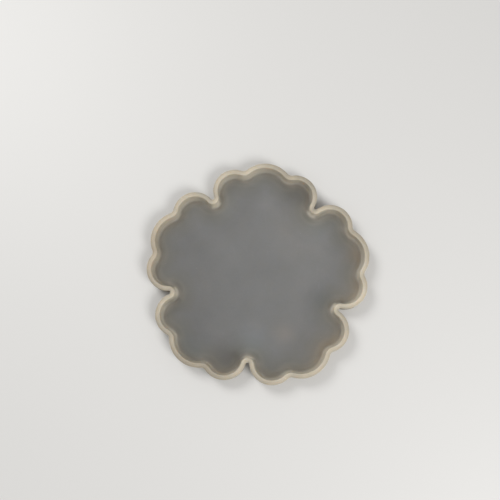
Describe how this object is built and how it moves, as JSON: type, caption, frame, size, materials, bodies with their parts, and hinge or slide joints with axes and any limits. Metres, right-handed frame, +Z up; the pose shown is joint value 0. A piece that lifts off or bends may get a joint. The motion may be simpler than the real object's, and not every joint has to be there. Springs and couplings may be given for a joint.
{
  "type": "resin casting mould",
  "caption": "Flower-shaped open silicone mould for casting resin coasters: a low scalloped wall round a flat cavity floor.",
  "frame": {"origin": "on the flower's axis, at the flat underside of the cavity floor", "axes": "+Z up out of the open cavity, petal 1 points along +Y, +X to the right seen from above"},
  "size_m": [0.1196, 0.1202, 0.0075],
  "materials": {
    "silicone_wall": "satin translucent cream silicone",
    "silicone_floor": "satin translucent grey silicone membrane"
  },
  "bodies": {
    "root": {"cavity_floor": "silicone_floor", "petal_wall_1": "silicone_wall", "petal_wall_2": "silicone_wall", "petal_wall_3": "silicone_wall", "petal_wall_4": "silicone_wall", "petal_wall_5": "silicone_wall"}
  },
  "joints": []
}
